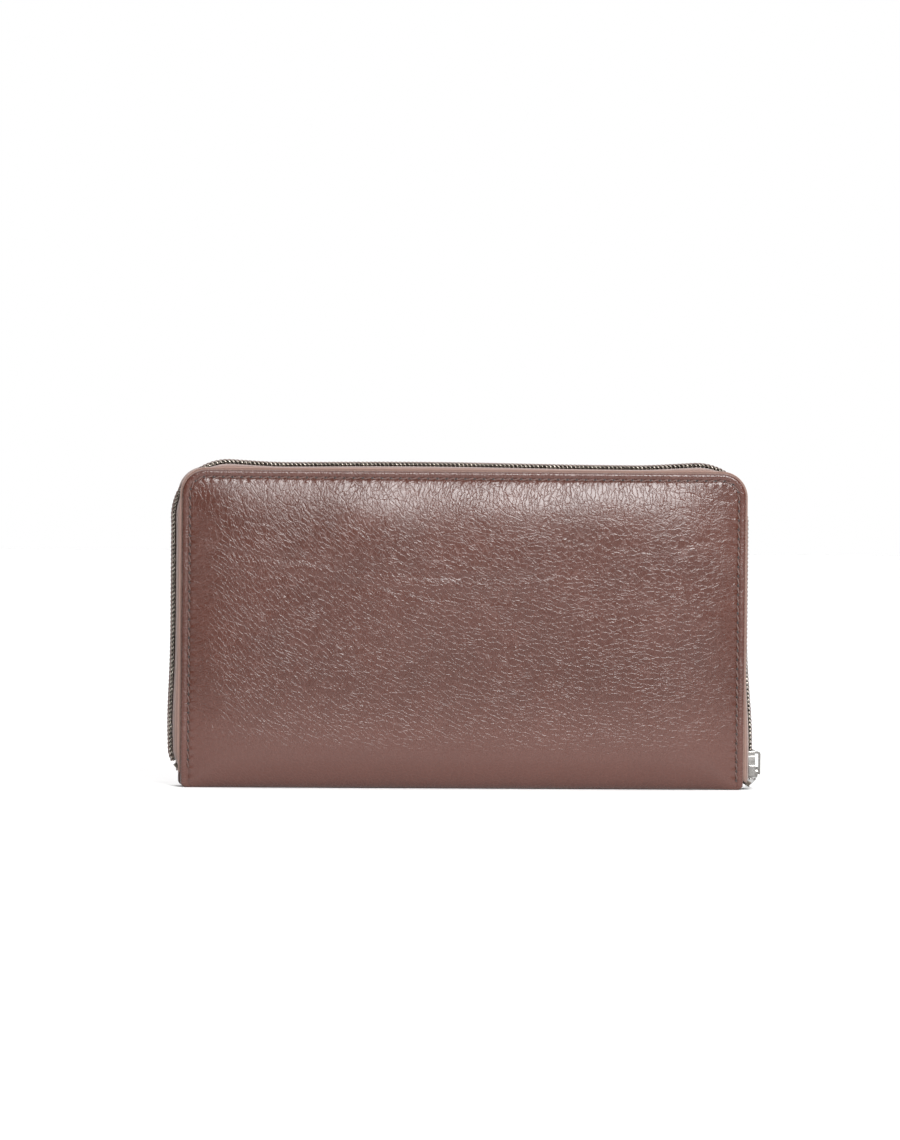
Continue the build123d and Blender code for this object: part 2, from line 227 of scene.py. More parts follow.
def rod(path, side, rise, radius, sides):
    """Rings of points round a path, from two directions across it, with closed ends."""
    angle = np.arange(sides) * 2 * math.pi / sides
    ring = np.cos(angle)[None, :, None] * side[:, None, :] + np.sin(angle)[None, :, None] * rise[:, None, :]
    points = path[:, None, :] + radius[:, None, None] * ring
    faces = list(grid_faces(len(path), sides, wrap=True))
    faces.append(np.arange(sides)[::-1])
    faces.append(np.arange(sides) + (len(path) - 1) * sides)
    return points.reshape(-1, 3), faces


def tube(path, radius, sides):
    """Round rod along a path of points that never runs straight along y."""
    tangent = unit(np.gradient(path, axis=0))
    side = unit(np.cross(tangent, (0.0, 1.0, 0.0)))
    return rod(path, side, np.cross(side, tangent), np.broadcast_to(radius, len(path)), sides)


# ---------------------------------------------------------------- material helpers
class Nodes:
    """Short-hand for adding nodes to a tree."""

    def __init__(self, tree):
        self.tree = tree

    def node(self, kind, inputs=None, **settings):
        made = self.tree.nodes.new("ShaderNode" + kind)
        for key, value in settings.items():
            setattr(made, key, value)
        for key, value in (inputs or {}).items():
            self.plug(made.inputs[key], value)
        return made

    def plug(self, socket, value):
        if isinstance(value, bpy.types.NodeSocket):
            self.tree.links.new(value, socket)
        else:
            socket.default_value = value


class Finish(Nodes):
    """Short-hand for building one procedural material."""

    def __init__(self, name):
        self.material = bpy.data.materials.new(name)
        self.material.use_nodes = True
        super().__init__(self.material.node_tree)
        self.shader = self.tree.nodes["Principled BSDF"]

    def maths(self, operation, first, second=0.0, third=0.0):
        return self.node("Math", {0: first, 1: second, 2: third}, operation=operation).outputs[0]

    def times(self, first, second):
        return self.maths("MULTIPLY", first, second)

    def raised(self, base, part, depth):
        """A height with a part of some depth laid on it."""
        return self.maths("MULTIPLY_ADD", part, depth, base)

    def wave(self, along, pitch):
        """Sine of a distance, with one turn in each pitch."""
        return self.maths("SINE", self.times(along, 2 * math.pi / pitch))

    def vector(self, operation, first, second):
        return self.node("VectorMath", {0: first, 1: second}, operation=operation).outputs[0]

    def stretched(self, where, factors):
        return self.vector("MULTIPLY", where, factors)

    def scaled(self, value, factor):
        return self.node("VectorMath", {0: value, "Scale": factor}, operation="SCALE").outputs[0]

    def ramp(self, value, low, high, out_low=0.0, out_high=1.0, curve="SMOOTHSTEP"):
        return self.node(
            "MapRange",
            {"Value": value, "From Min": low, "From Max": high, "To Min": out_low, "To Max": out_high},
            interpolation_type=curve,
        ).outputs[0]

    def noise(self, where, scale, detail=2.0, rough=0.5, output="Fac"):
        return self.node(
            "TexNoise", {"Vector": where, "Scale": scale, "Detail": detail, "Roughness": rough}
        ).outputs[output]

    def cells(self, where, scale=1.0):
        """Distance to the nearest border between random cells."""
        made = self.node("TexVoronoi", {"Vector": where, "Scale": scale}, feature="DISTANCE_TO_EDGE")
        return made.outputs["Distance"]

    def mix(self, share, first, second):
        made = self.node("Mix", data_type="RGBA")
        self.plug(made.inputs[0], share)
        self.plug(made.inputs[6], first)
        self.plug(made.inputs[7], second)
        return made.outputs[2]

    def blend_value(self, share, first, second):
        rest_share = self.maths("SUBTRACT", 1.0, share)
        return self.maths("MULTIPLY_ADD", second, share, self.times(first, rest_share))

    def read(self, name, output="Vector"):
        return self.node("Attribute", attribute_name=name).outputs[output]

    def place(self):
        """Object position in millimetres, for CAD nodes, which carry no stored rest position."""
        return self.scaled(self.node("TexCoord").outputs["Object"], 1 / MM)

    def bump(self, height):
        """Height is in millimetres."""
        made = self.node("Bump", {"Height": height, "Strength": 1.0, "Distance": MM})
        self.plug(self.shader.inputs["Normal"], made.outputs[0])

    def set(self, **inputs):
        for key, value in inputs.items():
            self.plug(self.shader.inputs[key.replace("_", " ")], value)


def leather_finish(name, colour, dark, grain=1.0, seam=True):
    """Tumbled leather: rounded pebbles between creases, drawn straight towards the seams. Creases get a
    lighter tone, partly worn dye and partly a painted glint, and the lower part gets a painted reflection of
    the floor.
    """
    f = Finish(name)
    rest = f.read("rest")
    axes = f.node("SeparateXYZ", {0: rest})
    x, z = axes.outputs[0], axes.outputs[2]
    drift = f.vector("SUBTRACT", f.noise(rest, 0.07, 2.0, output="Color"), (0.5, 0.5, 0.5))
    jitter = f.vector("SUBTRACT", f.noise(rest, 0.7, 2.0, output="Color"), (0.5, 0.5, 0.5))
    where = f.vector("ADD", f.vector("ADD", rest, f.scaled(drift, 8.0)), f.scaled(jitter, 1.3))
    lean = f.ramp(x, -80.0, 60.0, -0.75, -0.12, "LINEAR")
    turned = f.node("VectorRotate", {"Vector": where, "Angle": lean}, rotation_type="Y_AXIS").outputs[0]
    by_side = f.ramp(f.maths("SUBTRACT", HALF_WIDTH, f.maths("ABSOLUTE", x)), 4.0, 15.0, 0.6, 0.0)
    by_top = f.ramp(z, TOP - 24.0, TOP - 7.0, 0.0, 0.8)
    layouts = [f.cells(f.stretched(spot, stretch)) for spot, stretch in (
        (turned, (0.36, 0.6, 0.66)), (where, (0.24, 0.6, 0.85)), (where, (0.85, 0.6, 0.24)))]

    def drawn(low, high):
        """0 in the creases and 1 on the pebbles, with the layouts mixed over the cover."""
        general, sideways, upright = [f.ramp(distance, low, high) for distance in layouts]
        mixed = f.blend_value(by_side, general, sideways)
        return f.blend_value(by_top, mixed, upright)

    pebble, crease_line = drawn(0.0, 0.13), f.maths("SUBTRACT", 1.0, drawn(0.0, 0.11))
    fine = f.ramp(f.cells(f.stretched(where, (1.3, 1.3, 1.6))), 0.0, 0.3)
    long_lines = f.ramp(f.cells(f.stretched(turned, (0.045, 0.1, 0.13))), 0.0, 0.045)
    lined = f.ramp(f.noise(rest, 0.03, 1.0), 0.42, 0.6)
    rolled = f.ramp(z, 7.0, 23.0, 0.08, 1.0)
    uneven = f.ramp(f.noise(rest, 0.05, 2.0), 0.3, 0.7, 0.6, 1.1, "LINEAR")
    depth = f.times(f.times(rolled, uneven), grain * GRAIN_DEPTH)
    height = f.times(pebble, depth)
    height = f.raised(height, fine, f.times(depth, 0.12))
    ridges = f.times(long_lines, lined)
    height = f.raised(height, ridges, f.times(depth, 0.8))
    height = f.raised(height, f.noise(rest, 5.0, 3.0), 0.0015)
    if seam:
        wave = f.maths("COSINE", f.times(f.read("stitch", "Fac"), 2 * math.pi))
        near = f.maths("SUBTRACT", f.read("edge_inset", "Fac"), STITCH_INSET + 0.9)
        near = f.maths("EXPONENT", f.times(f.times(near, near), -1.2))
        uneven_pull = f.ramp(f.noise(rest, 0.35, 1.0), 0.3, 0.7, 0.015, 0.10)
        height = f.raised(height, f.times(wave, near), uneven_pull)
    f.bump(height)
    mottled = f.ramp(f.noise(rest, 0.06, 3.0, 0.6), 0.25, 0.75, 0.0, 1.0, "LINEAR")
    tone = f.mix(mottled, dark, colour)
    # Lighter tone: partly worn dye and partly painted glint in the creases, and painted floor reflection low
    # on the cover.
    worn_and_lit_tone = tuple(1.6 * c + 0.028 for c in colour[:3]) + (1,)
    wear_and_glint_patches = f.ramp(f.noise(rest, 0.25, 2.0), 0.3, 0.7, 0.15, 0.5)
    share = f.times(f.times(crease_line, rolled), wear_and_glint_patches)
    tone = f.mix(f.times(share, CREASE_WEAR_AND_GLINT), tone, worn_and_lit_tone)
    # Painted reflection of the white floor: below 38 mm the leather is mixed towards the lighter tone, most
    # at the foot.
    tone = f.mix(f.ramp(z, FOOT_REFLECTION_LOW, FOOT_REFLECTION_HIGH, 0.42, 0.0), tone, worn_and_lit_tone)
    rough = f.ramp(f.noise(rest, 0.4, 3.0), 0.2, 0.8, 0.21, 0.29, "LINEAR")
    rough = f.maths("MULTIPLY_ADD", crease_line, 0.06, rough)
    f.set(Base_Color=tone, Roughness=rough, Specular_IOR_Level=0.42)
    return f.material


def tape_finish(name, colour, dark):
    """Narrow woven zip tape: ribs along its length, crossed by fine picks."""
    f = Finish(name)
    run, across = f.read("run", "Fac"), f.read("across", "Fac")
    rest = f.read("rest")
    rib = f.wave(across, 0.62)
    shifted = f.maths("MULTIPLY_ADD", rib, 0.12, run)
    pick = f.wave(shifted, 0.42)
    height = f.maths("MULTIPLY_ADD", rib, 0.045, f.times(pick, 0.035))
    height = f.raised(height, f.noise(rest, 4.0, 2.0), 0.03)
    f.bump(height)
    share = f.ramp(f.maths("ADD", rib, pick), -1.8, 1.8, 0.0, 1.0, "LINEAR")
    share = f.times(share, f.ramp(f.noise(rest, 0.5, 2.0), 0.2, 0.8, 0.75, 1.0, "LINEAR"))
    f.set(Base_Color=f.mix(share, dark, colour), Roughness=0.75, Specular_IOR_Level=0.25,
          Sheen_Weight=0.35, Sheen_Roughness=0.5)
    return f.material


def cloth_finish(name, colour, dark, pitch=0.45):
    """Fine twill lining: diagonal ribs from the rest position."""
    f = Finish(name)
    rest = f.read("rest")
    axes = f.node("SeparateXYZ", {0: rest})
    depth = f.times(axes.outputs[1], 0.7)
    warp = f.maths("ADD", f.maths("ADD", axes.outputs[0], axes.outputs[2]), depth)
    weft = f.maths("SUBTRACT", axes.outputs[0], axes.outputs[2])
    twill = f.wave(warp, pitch)
    thread = f.wave(weft, 0.6 * pitch)
    height = f.maths("MULTIPLY_ADD", twill, 0.04, f.times(thread, 0.015))
    height = f.raised(height, f.noise(rest, 0.08, 2.0), 0.25)
    f.bump(height)
    share = f.ramp(twill, -1.0, 1.0, 0.15, 0.85, "LINEAR")
    share = f.times(share, f.ramp(f.noise(rest, 0.1, 3.0), 0.2, 0.8, 0.8, 1.1, "LINEAR"))
    f.set(Base_Color=f.mix(share, dark, colour), Roughness=0.7, Specular_IOR_Level=0.3,
          Sheen_Weight=0.25, Sheen_Roughness=0.45)
    return f.material


def thread_finish(name, colour, light):
    """Twisted sewing thread, with a painted highlight on each crest of the twist."""
    f = Finish(name)
    rest = f.read("rest")
    along = f.read("run", "Fac")
    twist = f.wave(along, 0.35)
    f.bump(f.maths("MULTIPLY_ADD", twist, 0.03, f.times(f.noise(rest, 6.0), 0.03)))
    # Crests of the twist are mixed towards the light colour: painted highlight.
    f.set(Base_Color=f.mix(f.ramp(twist, -1, 1, 0.1, 0.9), colour, light), Roughness=0.5, Sheen_Weight=0.3)
    return f.material


def metal_finish(name, colour, worn, rough, stored=False):
    """Plated metal: fine polishing lines and faint clouding."""
    f = Finish(name)
    where = f.read("rest") if stored else f.place()
    cloud = f.ramp(f.noise(where, 0.35, 3.0, 0.5), 0.3, 0.7)
    polish = f.noise(f.stretched(where, (1.5, 1.5, 12.0)), 1.0, 3.0, 0.6)
    f.bump(f.times(polish, 0.003))
    roughness = f.maths("MULTIPLY_ADD", polish, 0.08, f.maths("MULTIPLY_ADD", cloud, 0.05, rough))
    f.set(Base_Color=f.mix(cloud, colour, worn), Metallic=1.0, Roughness=roughness)
    return f.material


def pad_finish(name, colour, dark, stored):
    """Foam or board hidden inside a cover: fine open cells."""
    f = Finish(name)
    where = f.read("rest") if stored else f.place()
    pores = f.ramp(f.cells(where, 1.6), 0.0, 0.4)
    f.bump(f.times(pores, 0.1))
    f.set(Base_Color=f.mix(pores, dark, colour), Roughness=0.9)
    return f.material


LEATHER_BROWN = (0.068, 0.0222, 0.0150, 1)
LEATHER_DARK = (0.053, 0.0165, 0.0108, 1)
outer_leather = leather_finish("outer_leather", LEATHER_BROWN, LEATHER_DARK)
inner_leather = leather_finish(
    "inner_leather", (0.080, 0.029, 0.021, 1), (0.062, 0.022, 0.016, 1), grain=0.6, seam=False,
)
zip_tape_cloth = tape_finish("zip_tape_cloth", (0.275, 0.175, 0.145, 1), (0.14, 0.08, 0.064, 1))
lining_cloth = cloth_finish("lining_cloth", (0.16, 0.085, 0.068, 1), (0.065, 0.032, 0.026, 1))
# The second colour of each thread finish is its painted twist highlight.
brown_thread = thread_finish("brown_thread", (0.045, 0.018, 0.014, 1), (0.15, 0.075, 0.06, 1))
hole_shade = thread_finish("hole_shade", (0.012, 0.006, 0.005, 1), (0.022, 0.010, 0.008, 1))
zip_metal_dark = metal_finish(
    "antique_teeth", (0.20, 0.17, 0.145, 1), (0.46, 0.42, 0.37, 1), 0.16, stored=True,
)
stop_metal = metal_finish("antique_stops", (0.10, 0.085, 0.07, 1), (0.30, 0.26, 0.22, 1), 0.25)
nickel = metal_finish("nickel", (0.20, 0.19, 0.18, 1), (0.27, 0.26, 0.25, 1), 0.18)
foam = pad_finish("foam", (0.72, 0.68, 0.60, 1), (0.5, 0.46, 0.4, 1), stored=True)
grey_board = pad_finish("grey_board", (0.42, 0.37, 0.30, 1), (0.30, 0.26, 0.21, 1), stored=False)


# ---------------------------------------------------------------- outer leather
def graded(length, fine, step):
    """Positions from 0 to length: fine steps at the start, then even ones."""
    rest = length - fine[-1]
    count = max(2, int(round(rest / step)))
    return np.concatenate([fine, fine[-1] + rest * (np.arange(count) + 1) / count])


BORDER = np.array([
    0, 0.12, 0.32, 0.6, 1.0, 1.45, 1.85, 2.15, 2.4, 2.65, 2.95, 3.4, 4.0, 4.8, 5.8, 6.9, COVER_CORNER,
])
FIELD_STEP = 1.3
BORDER_CROWN, GROOVE_DEPTH, GROOVE_WIDE = 0.10, 0.30, 0.42
ROLL_END, ROLL_RISE = 1.7, 10.5
REST_HALF, REST_FLARE = 6.4, 0.9
ROLL_ROWS = 12
SPINE_ROWS = 9


def corner_warp(across, down):
    """Moves a point of the square-cornered panel to the round-cornered one.

    across and down are distances from the side and the top; rings a fixed distance inside the outline
    keep that distance. Returns the new distances and the inset from the outline.
    """
    inset = np.minimum(across, down)
    ring = np.maximum(COVER_CORNER - inset, 1e-6)
    in_corner = (across < COVER_CORNER) & (down < COVER_CORNER)
    by_side = (COVER_CORNER - down) / (2 * ring)
    by_top = 0.5 + (across - inset) / (2 * ring)
    angle = np.clip(np.where(across <= down, by_side, by_top), 0, 1) * math.pi / 2
    new_across = COVER_CORNER - ring * np.cos(angle)
    new_down = COVER_CORNER - ring * np.sin(angle)
    return np.where(in_corner, new_across, across), np.where(in_corner, new_down, down), inset


SEAM_START = 3.0
SEAM_STRAIGHT = TOP - COVER_CORNER
SEAM_RADIUS = COVER_CORNER - STITCH_INSET
SEAM_TURN = SEAM_RADIUS * math.pi / 2
SEAM_TOP = 2 * (HALF_WIDTH - COVER_CORNER)
SEAM_LENGTH = 2 * SEAM_STRAIGHT + SEAM_TOP + 2 * SEAM_TURN - SEAM_START
SEAM_WHOLE = 2 * SEAM_STRAIGHT + 2 * SEAM_TURN + SEAM_TOP
SEAM_COUNT = int(SEAM_LENGTH / STITCH_PITCH)
SEAM_STEP = SEAM_LENGTH / SEAM_COUNT


def stitch_phase(x, z):
    """How many stitches along the seam a point near it stands, counted from the left foot."""
    aside, above = np.abs(x) - (HALF_WIDTH - COVER_CORNER), z - (TOP - COVER_CORNER)
    angle = np.arctan2(np.maximum(above, 0), np.maximum(aside, 1e-6))
    by_side = np.where(above > 0, SEAM_STRAIGHT + angle * SEAM_RADIUS, z)
    from_left = np.where(aside > 0, by_side, SEAM_STRAIGHT + SEAM_TURN + SEAM_TOP / 2 - np.abs(x))
    run = np.where(x < 0, from_left, SEAM_WHOLE - from_left)
    return (run - SEAM_START) / SEAM_STEP


SWELL_STEP = 4.0
SWELL_UNDER = 30.0
SWELL_FRAMES = 20
SWELL_CAP = 0.75
SHEET_HALF = 1.5
CLOTH_SETTINGS = {
    "quality": 6, "vertex_group_mass": "held", "use_pressure": True, "uniform_pressure_force": 4.0,
    "tension_stiffness": 5.0, "compression_stiffness": 5.0, "bending_stiffness": 3.0,
}


def run_cloth(front, back, held):
    """Blows a closed sheet up with pressure while its held points stay; returns the front's new places."""
    pad = slab_piece("swelling_pad", outer_leather, front, back)
    group = pad.vertex_groups.new(name="held")
    group.add(np.flatnonzero(held).tolist(), 1.0, "REPLACE")
    cloth = pad.modifiers.new("cloth", "CLOTH")
    for key, value in CLOTH_SETTINGS.items():
        setattr(cloth.settings, key, value)
    cloth.settings.effector_weights.gravity = 0.0
    cloth.point_cache.frame_end = SWELL_FRAMES
    for step in range(1, SWELL_FRAMES + 1):
        bpy.context.scene.frame_set(step)
    done = pad.evaluated_get(bpy.context.evaluated_depsgraph_get()).data
    moved = np.empty(len(done.vertices) * 3, dtype=np.float32)
    done.vertices.foreach_get("co", moved)
    bpy.context.scene.frame_set(1)
    bpy.data.objects.remove(pad)
    return moved.reshape(-1, 3)[:front.size // 3].reshape(front.shape) / MM


def middle_of_neighbours(grid):
    """Median over each point and its eight neighbours, which drops single strays."""
    wide = np.pad(grid, 1, mode="edge")
    rows, columns = grid.shape
    shifted = [wide[down:down + rows, right:right + columns] for down in range(3) for right in range(3)]
    return np.median(np.stack(shifted), axis=0)


def swell(side):
    """The padded field of one cover as a function of x and z, 0 at the seam and 1 on the crown."""
    half, top = HALF_WIDTH - STITCH_INSET, TOP - STITCH_INSET
    x_lines = np.linspace(-half, half, int(2 * half / SWELL_STEP))
    z_lines = np.linspace(-SWELL_UNDER, top, int((top + SWELL_UNDER) / SWELL_STEP))
    x, z = np.meshgrid(x_lines, z_lines)
    seed = 0.06 * np.sin(x / 9.0 + side) * np.sin(z / 7.0 - side)
    edge = np.ones_like(x, bool)
    edge[1:-1, 1:-1] = False
    blown = run_cloth(
        np.stack([x, -SHEET_HALF - seed, z], -1), np.stack([x, SHEET_HALF + 0 * x, z], -1),
        np.concatenate([edge.ravel(), np.ones(x.size, bool)]),
    )
    rise = -SHEET_HALF - blown[..., 1]
    rise = 1 - np.exp(-np.maximum(middle_of_neighbours(rise), 0) / SWELL_CAP)
    rise = rise / np.quantile(rise, 0.95)
    rise = np.minimum(rise, 1.0) * ~edge
    rise, x_all, z_all = (
        np.pad(values, 3, mode="reflect", reflect_type="odd") for values in (rise, x_lines, z_lines)
    )

    def weights(places, lines):
        """Gaussian share of each line of cloth points at each place."""
        near = np.exp(-0.5 * ((np.ravel(places)[:, None] - lines) / (0.75 * SWELL_STEP)) ** 2)
        return near / near.sum(axis=1, keepdims=True)

    def smooth_swell(at_x, at_z):
        value = np.sum((weights(at_z, z_all) @ rise) * weights(at_x, x_all), axis=1).reshape(np.shape(at_x))
        return np.clip(value, 0, 1) * smooth(HALF_WIDTH - np.abs(at_x), 0, STITCH_INSET)

    return smooth_swell


def crease(x, z, points, depth, width):
    """Soft crease along a bent line given by a few x, z points."""
    line_x, line_z = np.array(points, float).T
    centre = np.interp(x, line_x, line_z)
    ends = smooth(x, line_x[0], line_x[0] + 12) * (1 - smooth(x, line_x[-1] - 12, line_x[-1]))
    away = (z - centre) / width
    return ends * depth * (-np.exp(-away * away) + 0.6 * np.exp(-((away + 1.6) ** 2)))


LEVEL_CREASES = (
    ([(-88, 79), (-55, 76), (-20, 71.5), (8, 70), (40, 73)], 0.16, 1.3),
    ([(-60, 71), (-30, 66), (5, 63), (30, 64)], 0.10, 1.1),
    ([(20, 62), (55, 58), (90, 60)], 0.10, 1.2),
    ([(30, 84), (60, 80), (92, 83)], 0.08, 1.1),
)
UPRIGHT_CREASES = (
    ([(84, 62), (92, 63.5), (104, 62.5)], 0.16, 0.9),
    ([(82, 67), (92, 66.5), (104, 68)], 0.14, 0.9),
    ([(84, 83), (94, 85), (104, 88)], 0.12, 0.9),
)
BACK_CREASE = ([(-80, 60), (-20, 66), (50, 61), (88, 64)], 0.12, 1.3)


def surface_play(x, z, side):
    """Gentle unevenness of a stretched panel: swells and long creases."""
    swell = 0.16 * np.sin(x / 17.0 + side) * np.sin(z / 13.0 + 0.6 * side)
    swell += 0.10 * np.sin(x / 7.3 + z / 11.0 + 2 * side)
    if side > 0:
        return swell + crease(x, z, *BACK_CREASE)
    lines = [crease(x, z, *row) for row in LEVEL_CREASES] + [crease(z, x, *row) for row in UPRIGHT_CREASES]
    return swell + sum(lines)


swells = {side: swell(side) for side in (-1, 1)}


def leather_wrap():
    """One panel of leather: down the front, under the spine, up the back, with rounded edges."""
    x_in = graded(HALF_WIDTH, BORDER, FIELD_STEP)
    across = np.concatenate([x_in, x_in[-2::-1]])
    sign = np.concatenate([-np.ones(len(x_in)), np.ones(len(x_in) - 1)])
    roll_height = ROLL_END + ROLL_RISE * smooth(across, 0.5, 17.0)

    def cover_rows(side):
        """Rows from the top edge down to the start of the roll."""
        share = np.linspace(0, 1, int(round((TOP - COVER_CORNER) / FIELD_STEP)))[1:]
        rows = [np.full(len(across), down) for down in BORDER]
        rows += [COVER_CORNER + part * (TOP - COVER_CORNER - roll_height) for part in share]
        down = np.array(rows)
        wide = np.broadcast_to(across, down.shape)
        new_across, new_down, inset = corner_warp(wide, down)
        x = np.broadcast_to(sign, down.shape) * (HALF_WIDTH - new_across)
        z = TOP - new_down
        rise = PAD_RISE * swells[side](x, z)
        half = FLANGE_OUT + rise + surface_play(x, z, side) * smooth(inset, 2.6, 9.0)
        half += BORDER_CROWN * np.sin(np.pi * np.clip(inset / STITCH_INSET, 0, 1))
        half -= GROOVE_DEPTH * np.exp(-((inset - STITCH_INSET) / GROOVE_WIDE) ** 2)
        lip = np.clip(1 - inset / LIP_WIDE, 0, 1)
        half -= LIP_FALL * (1 - np.sqrt(1 - lip * lip))
        run = stitch_phase(x, z)
        return x, half, z, inset, run

    def roll_rows(half_start):
        """Quarter turn from the cover's foot to the resting face."""
        angle = (np.arange(ROLL_ROWS) + 1) / ROLL_ROWS * math.pi / 2
        flat = REST_HALF + REST_FLARE * (1 - smooth(across, 0.5, 12.0))
        half = flat + (half_start - flat) * np.cos(angle)[:, None] ** 0.9
        z = roll_height * (1 - np.sin(angle)[:, None])
        return half, z

    parts = []
    for side in (-1, 1):
        x, half, z, inset, run = cover_rows(side)
        roll_half, roll_z = roll_rows(half[-1])
        wide_x = np.broadcast_to(x[-1], roll_half.shape)
        block = [np.concatenate([first, second]) for first, second in (
            (x, wide_x), (side * half, side * roll_half), (z, roll_z),
            (inset, np.broadcast_to(across, roll_half.shape)), (run, stitch_phase(wide_x, roll_z)),
        )]
        parts.append(block)
    front, back = parts
    share = (np.arange(SPINE_ROWS) + 1) / (SPINE_ROWS + 1)
    spine_y = front[1][-1] + share[:, None] * (back[1][-1] - front[1][-1])
    lifted = 0.25 * np.sin(share * math.pi)[:, None] * smooth(across, 2, 15)
    spine = [np.broadcast_to(front[0][-1], spine_y.shape), spine_y, lifted,
             np.broadcast_to(across, spine_y.shape), 0 * spine_y]
    x, y, z, inset, run = (np.concatenate([f, s, b[::-1]]) for f, s, b in zip(front, spine, back))
    missing = np.clip(FOOT_ROUND - z, 0, FOOT_ROUND)
    x = x * (1 - (FOOT_ROUND - np.sqrt(FOOT_ROUND ** 2 - missing ** 2)) / HALF_WIDTH)
    outer = np.stack([x, y, z], axis=-1)
    thinned = np.sqrt(1 - np.clip(1 - inset / LIP_WIDE, 0, 1) ** 2)
    depth = np.where(inset < LIP_WIDE, LEATHER - LIP_FALL + LIP_FALL * thinned, LEATHER)
    normal = grid_normals(outer)
    normal *= np.sign(np.sum(normal * np.stack([0 * x, y, z - 30], axis=-1), axis=-1, keepdims=True))
    flat_normal = np.stack([0 * x, np.sign(y), 0 * z], axis=-1)
    near_edge = (1 - smooth(inset, 2.0, 7.0))[..., None] * smooth(z, 3, 9)[..., None]
    normal = normal * (1 - near_edge) + flat_normal * near_edge
    inner = outer - unit(normal) * depth[..., None]
    return slab_piece("outer_leather_wrap", outer_leather, outer, inner, edge_inset=inset, stitch=run)


wrap = leather_wrap()
settle(wrap, "outer_leather", None, "front_cover_leather", "spine_leather", "back_cover_leather")
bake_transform(wrap)


# ---------------------------------------------------------------- main zip
class ChainPath:
    """The zip's way round the covers, seen from the front, measured along the tape's outer face."""

    def __init__(self, lift=0.0):
        self.lift = lift
        corner_x, corner_z = CHAIN_SIDE - CHAIN_CORNER, CHAIN_TOP - CHAIN_CORNER
        quarter = math.pi / 2
        self.pieces = [
            ("arc", (LEFT_BEND - CHAIN_SIDE, LEFT_BEND_Z), LEFT_BEND, math.pi + LEFT_TURN, LEFT_TURN),
            ("line", (-CHAIN_SIDE, LEFT_BEND_Z), corner_z - LEFT_BEND_Z, math.pi, 0),
            ("arc", (-corner_x, corner_z), CHAIN_CORNER, math.pi, quarter),
            ("line", (-corner_x, CHAIN_TOP), 2 * corner_x, quarter, 0),
            ("arc", (corner_x, corner_z), CHAIN_CORNER, quarter, quarter),
            ("line", (CHAIN_SIDE, corner_z), corner_z - RIGHT_BEND_Z, 0.0, 0),
            ("arc", (CHAIN_SIDE - RIGHT_BEND, RIGHT_BEND_Z), RIGHT_BEND, 0.0, RIGHT_TURN),
        ]
        lengths = [(size + lift) * turn if kind == "arc" else size for kind, _, size, _, turn in self.pieces]
        self.ends = np.concatenate([[0], np.cumsum(lengths)])
        self.length = self.ends[-1]

    def at(self, distance):
        """x, z and the outward direction at distances along the path."""
        distance = np.clip(np.asarray(distance, float), 0, self.length)
        place, angle = np.zeros(distance.shape + (2,)), np.zeros(distance.shape)
        for index, (kind, start, size, heading, turn) in enumerate(self.pieces):
            inside = (distance >= self.ends[index]) & (distance <= self.ends[index + 1])
            along = distance[inside] - self.ends[index]
            if kind == "arc":
                theta = heading - along / (size + self.lift)
                place[inside] = np.array(start) + size * np.stack([np.cos(theta), np.sin(theta)], -1)
            else:
                theta = np.full(along.shape, heading)
                step = np.array([math.sin(heading), -math.cos(heading)])
                place[inside] = np.array(start) + along[:, None] * step
            angle[inside] = theta
        outward = np.stack([np.cos(angle), np.sin(angle)], -1)
        return place, outward

    def sway(self, distance):
        """Sewn chains are never quite straight: distance they stand in or out, in millimetres."""
        place, _ = self.at(distance)
        x, z = place[..., 0], place[..., 1]
        left = (LEFT_BULGE * np.exp(-((z - 22) / 16) ** 2) - LEFT_TUCK * (1 - smooth(z, 85, 100))) * (x < -90)
        right = -RIGHT_TUCK * smooth(z, 14, 50) * (1 - smooth(z, 92, 101)) * (x > 90)
        over = (TOP_WAVE * np.sin(x / 21.0 + 2.2) - TOP_TUCK) * (z > 100) * (1 - smooth(np.abs(x), 58, 87))
        return left + right + over


def row_shift(x, z):
    """Sideways shift of a row of teeth round the slider's wedge at the open end."""
    share = smooth(SPREAD_TOP - z, 0, SPREAD_TOP - SPREAD_FOOT)
    return np.where(x > 0, SPREAD * share, 0.0)


def coil_loop():
    """One turn of the coil: distance from the middle plane, lift off the tape, and share of the pitch."""
    low, high = 0.05 + COIL_WIRE, COIL_LIFT
    centre, radius = (low + high) / 2, (high - low) / 2
    head, tail = -TOOTH_HOOK + radius + COIL_WIRE * 0.9, TOOTH_REACH - radius - COIL_WIRE * 0.6

    def bend(middle, start, end, shares):
        """Half circle of points round one end of the loop."""
        turns = np.radians(np.linspace(start, end, LOOP_BEND))
        return [(middle + radius * math.cos(turn), centre + radius * math.sin(turn), share)
                for turn, share in zip(turns, shares)]

    outline = bend(head, -90, -270, [0.0] * LOOP_BEND)
    outline += [(head + part * (tail - head), high, 0.02 * part) for part in (0.35, 0.7)]
    outline += bend(tail, 90, -90, [0.05 + 0.9 * step / (LOOP_BEND - 1) for step in range(LOOP_BEND)])
    outline += [(tail + part * (head - tail), low, 0.95 + 0.05 * part) for part in (0.3, 0.65)]
    return np.array(outline)


